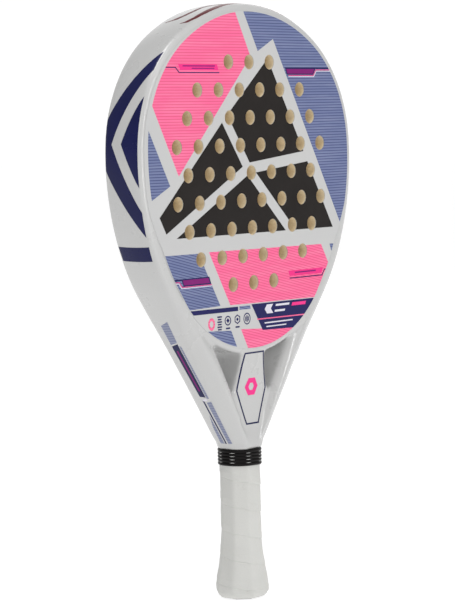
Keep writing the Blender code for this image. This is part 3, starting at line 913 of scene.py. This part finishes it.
def soft_radius(angle, grown, softness=OCTAGON_SOFTNESS):
    """Distance from the axis to a softened octagon, this much larger all round than the half shells."""
    half_x, half_y = (half + grown for half in PALLET_HALF)
    x, y = math.cos(angle), math.sin(angle)
    half_slant = (half_x + half_y) / 2
    total = abs(x / half_x) ** softness + abs(y / half_y) ** softness
    for slant in (x + y, x - y):
        total += abs(slant / math.sqrt(2) / half_slant) ** softness
    return total ** (-1 / softness)


def round_axis(radius, angle, height):
    return Vector((radius * math.cos(angle), radius * math.sin(angle), height)) * MM


def soft_sleeve(name, spread, thickness, span, material, step=2.0):
    """A tube of even wall that follows the handle's softened octagon and flare."""
    low, high = span
    rows = max(2, int((high - low) / step))
    bm = bmesh.new()
    made = bmesh.ops.create_grid(bm, x_segments=SLEEVE_SIDES, y_segments=rows, size=0.5)
    for vertex in made["verts"]:
        angle = 2 * math.pi * (vertex.co.x + 0.5)
        height = low + (high - low) * (vertex.co.y + 0.5)
        radius = soft_radius(angle, spread + thickness + lookup(FLARE, height))
        vertex.co = round_axis(radius, angle, height)
    bmesh.ops.remove_doubles(bm, verts=bm.verts, dist=1e-6)
    bmesh.ops.recalc_face_normals(bm, faces=bm.faces)
    bmesh.ops.solidify(bm, geom=bm.faces, thickness=thickness * MM)
    piece = make_piece(name, bm, [material])
    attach(piece, "root")
    return piece


def lap_height(share):
    """How far the wrap stands out, by how far up one turn of the tape the point is."""
    if share < LAP_EDGE:
        return LAP_THICKNESS * (ease(share / LAP_EDGE) * 1.25 - 0.25)
    if share < LAP_TOP:
        return LAP_THICKNESS * (1.0 - 0.15 * ease((share - LAP_EDGE) / 0.2))
    if share < LAP_FOOT:
        return LAP_THICKNESS * (0.85 - 0.45 * ease((share - LAP_TOP) / 0.06))
    if share < NEXT_LAP:
        return LAP_THICKNESS * (0.40 - 0.25 * (share - LAP_FOOT) / 0.67)
    return LAP_THICKNESS * (0.15 - 0.40 * ease((share - NEXT_LAP) / 0.03))


def wrap_rows():
    """Shares of one turn at which the mesh has a row, closest at the lap's edges."""
    shares = [0.0, 0.012, 0.024, LAP_EDGE, 0.05]
    shares += [0.05 + 0.18 * step / 6 for step in range(1, 7)]
    shares += [LAP_TOP, 0.255, 0.27, 0.285, LAP_FOOT]
    shares += [LAP_FOOT + 0.66 * step / 17 for step in range(1, 18)]
    shares += [NEXT_LAP, 0.985]
    return shares


def make_overgrip(material):
    """One grid wound round the handle on the slant of the tape, so that its rows follow the laps."""
    shares = wrap_rows()
    low, high = WRAP_SPAN
    turns = int((high - low) / WRAP_PITCH) + 4
    levels = [(turn, share) for turn in range(-2, turns) for share in shares]
    bm = bmesh.new()
    made = bmesh.ops.create_grid(bm, x_segments=WRAP_SIDES, y_segments=len(levels) - 1, size=0.5)
    for vertex in made["verts"]:
        around = vertex.co.x + 0.5
        turn, share = levels[round((vertex.co.y + 0.5) * (len(levels) - 1))]
        angle = 2 * math.pi * around + WRAP_START
        height = low + WRAP_PITCH * (turn + share - around) + WRAP_START_HEIGHT
        radius = soft_radius(angle, WRAP_SPREAD - WRAP_SINK + lookup(FLARE, min(height, HANDLE_TOP)))
        pull = sum(size * math.sin(angle * lobes + height * rise) for size, lobes, rise in WRAP_PULLS)
        radius += lap_height(share) + pull
        vertex.co = round_axis(radius, angle, height)
    bmesh.ops.remove_doubles(bm, verts=bm.verts, dist=2e-6)
    for height, outward in ((low, -1), (high, 1)):
        bmesh.ops.bisect_plane(
            bm, geom=[*bm.verts, *bm.edges, *bm.faces], dist=1e-6,
            plane_co=(0, 0, height * MM), plane_no=(0, 0, outward), clear_outer=True,
        )
    folds = (
        (high, FOLD_SHARE, 0.0),
        (low, BUTT_EDGE_SHARE, -BUTT_EDGE_DROP),
        (low - BUTT_EDGE_DROP, FOLD_SHARE, -FOLD_DROP),
    )
    for height, inset, shift in folds:
        open_edges = [edge for edge in bm.edges if edge.is_boundary]
        rim = [edge for edge in open_edges if all(abs(v.co.z - height * MM) < 2e-5 for v in edge.verts)]
        for vertex in new_vertices(bmesh.ops.extrude_edge_only(bm, edges=rim)):
            vertex.co.x *= inset
            vertex.co.y *= inset
            vertex.co.z = (height + shift) * MM
    return make_piece("wound_overgrip", bm, [material], smooth_degrees=60)


def wrap_finish():
    made = Finish("white_overgrip", (0.64, 0.64, 0.615), 0.55, Specular_IOR_Level=0.3)
    made.mottle((0.58, 0.58, 0.555), 0.6, 0.38, 0.72, 26, 4)
    made.mottle((0.50, 0.50, 0.48), 0.3, 0.5, 0.75, 1500, 3)
    made.mottle((0.47, 0.45, 0.42), 0.35, 0.64, 0.74, 110, 5, rough=0.7)
    made.gloss(made.noise(80, 3), 0.5, 0.66)
    made.grain(0.15, 0.0010, 60, 3)
    made.grain(0.25, 0.0003, 1500, 3)
    return made.done()


def cushion_finish():
    made = Finish("black_cushion", (0.03, 0.03, 0.03), 0.8)
    made.mottle((0.06, 0.06, 0.06), 0.5, 0.4, 0.7, 900, 2)
    made.grain(0.4, 0.0004, 1200, 3)
    return made.done()


def vinyl_finish():
    made = Finish("vinyl_tape", (0.62, 0.62, 0.60), 0.4)
    made.mottle((0.54, 0.54, 0.52), 0.5, 0.4, 0.7, 60, 4)
    made.bump(made.noise(300, 3, stretch=(0.2, 0.2, 1)), 0.2, 0.0003)
    return made.done()


overgrip = make_overgrip(wrap_finish())
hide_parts("overgrip")
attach(overgrip, "root")
cushion = soft_sleeve("cushion_grip", CUSHION_SPREAD, CUSHION_THICKNESS, CUSHION_SPAN, cushion_finish())
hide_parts("base_grip")
tape = soft_sleeve("collar_tape", TAPE_SPREAD, TAPE_THICKNESS, TAPE_SPAN, vinyl_finish(), 1.0)
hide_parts("finishing_tape")

# ------------------------------------------------------------------------
# Collar: a stretched ring of black rubber with five rounded ribs, rolled down over the end of the wrap.
# Its lower edge waves a little where it is pulled over the tape.
# ------------------------------------------------------------------------
COLLAR_SPAN = (103.0, 115.6)
COLLAR_RIBS = 5
ROWS_PER_RIB = 10
COLLAR_SIDES = 120
RIB_ROUNDNESS = 0.6
COLLAR_SPREAD = 3.75
COLLAR_RIB = 0.75
COLLAR_SINK = 0.25
COLLAR_SOFTNESS = 9.0
COLLAR_INNER_SHARE = 0.955


def rubber_finish():
    made = Finish("black_rubber", (0.0025, 0.0015, 0.0015), 0.45, Specular_IOR_Level=0.16)
    made.mottle((0.005, 0.004, 0.0035), 0.6, 0.4, 0.7, 40, 4)
    made.mottle((0.04, 0.037, 0.035), 0.2, 0.64, 0.74, 200, 5, rough=0.7)
    made.gloss(made.noise(60, 4), 0.30, 0.5)
    made.grain(0.2, 0.0003, 1100, 3)
    return made.done()


def make_collar(material):
    low, high = COLLAR_SPAN
    rows = COLLAR_RIBS * ROWS_PER_RIB
    bm = bmesh.new()
    made = bmesh.ops.create_grid(bm, x_segments=COLLAR_SIDES, y_segments=rows, size=0.5)
    for vertex in made["verts"]:
        angle = 2 * math.pi * (vertex.co.x + 0.5)
        share = vertex.co.y + 0.5
        rib = abs(math.sin(math.pi * COLLAR_RIBS * share)) ** RIB_ROUNDNESS
        wave = (1 - share) * (0.35 * math.sin(angle * 2 + 0.6) + 0.2 * math.sin(angle * 3))
        height = low + (high - low) * share + wave
        radius = soft_radius(angle, COLLAR_SPREAD, COLLAR_SOFTNESS) + COLLAR_RIB * rib - COLLAR_SINK
        vertex.co = round_axis(radius, angle, height)
    bmesh.ops.remove_doubles(bm, verts=bm.verts, dist=1e-6)
    rim = [edge for edge in bm.edges if edge.is_boundary]
    inner = new_vertices(bmesh.ops.extrude_edge_only(bm, edges=rim))
    bmesh.ops.scale(bm, verts=inner, vec=(COLLAR_INNER_SHARE, COLLAR_INNER_SHARE, 1.0))
    bmesh.ops.bridge_loops(bm, edges=[edge for edge in bm.edges if edge.is_boundary])
    return make_piece("ribbed_collar", bm, [material], smooth_degrees=60)


collar = make_collar(rubber_finish())
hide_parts("rubber_collar")
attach(collar, "root")

# ------------------------------------------------------------------------
# Inside and butt: rigid foam in the tube and the handle, two moulded half shells, the moulded cap with its
# cord hole, the steel pin that holds a wrist cord, and the two screws that hold the cap.
# ------------------------------------------------------------------------


def fill_finish():
    made = Finish("rigid_fill_foam", (0.66, 0.60, 0.44), 0.9)
    made.mottle((0.52, 0.45, 0.30), 0.6, 0.4, 0.7, 500, 3)
    made.grain(0.5, 0.0005, 900, 3)
    return made.done()


def moulded_finish(name, colour, light):
    made = Finish(name, colour, 0.5)
    made.mottle(light, 0.5, 0.4, 0.7, 35, 3)
    made.gloss(made.noise(120, 3), 0.42, 0.58)
    made.grain(0.2, 0.0002, 1600, 2)
    return made.done()


def steel_finish():
    made = Finish("plated_steel", (0.56, 0.56, 0.58), 0.35, Metallic=1.0)
    made.mottle((0.42, 0.42, 0.43), 0.5, 0.4, 0.7, 200, 4)
    made.gloss(made.noise(600, 3, stretch=(1, 1, 0.1)), 0.28, 0.45)
    made.grain(0.1, 0.0002, 900, 2)
    return made.done()


fill_foam = fill_finish()
pallet_plastic = moulded_finish("pallet_plastic", (0.045, 0.045, 0.047), (0.075, 0.075, 0.078))
cap_plastic = moulded_finish("cap_plastic", (0.030, 0.030, 0.032), (0.055, 0.055, 0.058))
steel = steel_finish()
KEPT_NODES = (
    ("frame_foam", fill_foam, "fill_foam"),
    ("handle_core", fill_foam, "fill_foam"),
    ("pallet_front", pallet_plastic, "pallet_shell"),
    ("pallet_back", pallet_plastic, "pallet_shell"),
    ("butt_cap", cap_plastic, "cap_plastic"),
    ("cord_pin", steel, "steel"),
    ("cap_screw_left", steel, "steel"),
    ("cap_screw_right", steel, "steel"),
)
for name, material, slot in KEPT_NODES:
    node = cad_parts[name]
    node.data.materials.clear()
    node.data.materials.append(material)

# ------------------------------------------------------------------------
# Studio: a plain pale floor that glows, large soft lights, and a long lens from the front left. The white
# surround is bright beyond the racket and darker on the camera's side, so the lacquer isn't washed out.
# ------------------------------------------------------------------------
FLOOR_SIZE = 30.0
FLOOR_DROP = 0.0005
FLOOR_GLOW = 0.84
SURROUND_RAMP = (("From Min", 0.55), ("From Max", 0.93), ("To Min", 0.36), ("To Max", 1.05))
CAMERA_PLACE = (-1.358526, -1.150694, 0.365204)
CAMERA_RIGHT = Vector((0.64770, -0.76157, -0.02240))
CAMERA_UP = Vector((0.07353, 0.03322, 0.99674))
CAMERA_FORWARD = Vector((0.75834, 0.64723, -0.07752))
LENS, SENSOR = 138.153, 36.0
LIGHTS = (
    ("key_softbox", (0.1, -1.9, 1.9), (1.2, 1.2), 7.0),
    ("top_softbox", (-0.6, -0.3, 2.2), (1.0, 1.0), 18.0),
    ("fill_softbox", (-1.6, -1.5, 0.9), (0.8, 0.8), 5.0),
    ("strip_softbox", (0.72, -1.95, 0.42), (0.16, 1.3), 8.0),
)
AIM = Vector((0.0, 0.0, 0.28))


def make_stage():
    bm = bmesh.new()
    bmesh.ops.create_grid(bm, x_segments=1, y_segments=1, size=FLOOR_SIZE / 2)
    bmesh.ops.translate(bm, verts=bm.verts, vec=(0, 0, -FLOOR_DROP))
    glow = {"Emission_Color": (1.0, 1.0, 1.0, 1.0), "Emission_Strength": FLOOR_GLOW}
    pale = Finish("pale_floor", (0.30, 0.30, 0.30), 0.95, **glow)
    pale.mottle((0.28, 0.28, 0.28), 0.3, 0.4, 0.7, 2, 2)
    floor = make_piece("studio_floor", bm, [pale.done()], smooth_degrees=0)

    world = bpy.data.worlds.new("white_surround")
    bpy.context.scene.world = world
    world.use_nodes = True
    tree = world.node_tree
    background = tree.nodes["Background"]
    direction = tree.nodes.new("ShaderNodeTexCoord")
    towards = tree.nodes.new("ShaderNodeVectorMath")
    towards.operation = "DOT_PRODUCT"
    towards.inputs[1].default_value = (CAMERA_FORWARD.x, CAMERA_FORWARD.y, 0.0)
    tree.links.new(direction.outputs["Generated"], towards.inputs[0])
    strength = tree.nodes.new("ShaderNodeMapRange")
    for key, number in SURROUND_RAMP:
        strength.inputs[key].default_value = number
    tree.links.new(towards.outputs["Value"], strength.inputs["Value"])
    tree.links.new(strength.outputs["Result"], background.inputs["Strength"])
    background.inputs["Color"].default_value = (1.0, 1.0, 1.0, 1.0)

    for name, place, size, power in LIGHTS:
        lamp = bpy.data.lights.new(name, "AREA")
        lamp.shape = "RECTANGLE"
        lamp.size, lamp.size_y = size
        lamp.energy = power
        holder = bpy.data.objects.new(name, lamp)
        holder.location = place
        holder.rotation_euler = (AIM - Vector(place)).to_track_quat("-Z", "Y").to_euler()
        bpy.context.scene.collection.objects.link(holder)

    camera = bpy.data.objects.new("studio_camera", bpy.data.cameras.new("studio_camera"))
    columns = (CAMERA_RIGHT, CAMERA_UP, -CAMERA_FORWARD)
    turn = Matrix([[column[row] for column in columns] for row in range(3)])
    camera.matrix_world = Matrix.Translation(CAMERA_PLACE) @ turn.to_4x4()
    camera.data.lens = LENS
    camera.data.sensor_width = SENSOR
    camera.data.sensor_fit = "AUTO"
    bpy.context.scene.collection.objects.link(camera)
    bpy.context.scene.camera = camera
    bpy.context.scene.view_settings.view_transform = "Standard"


make_stage()
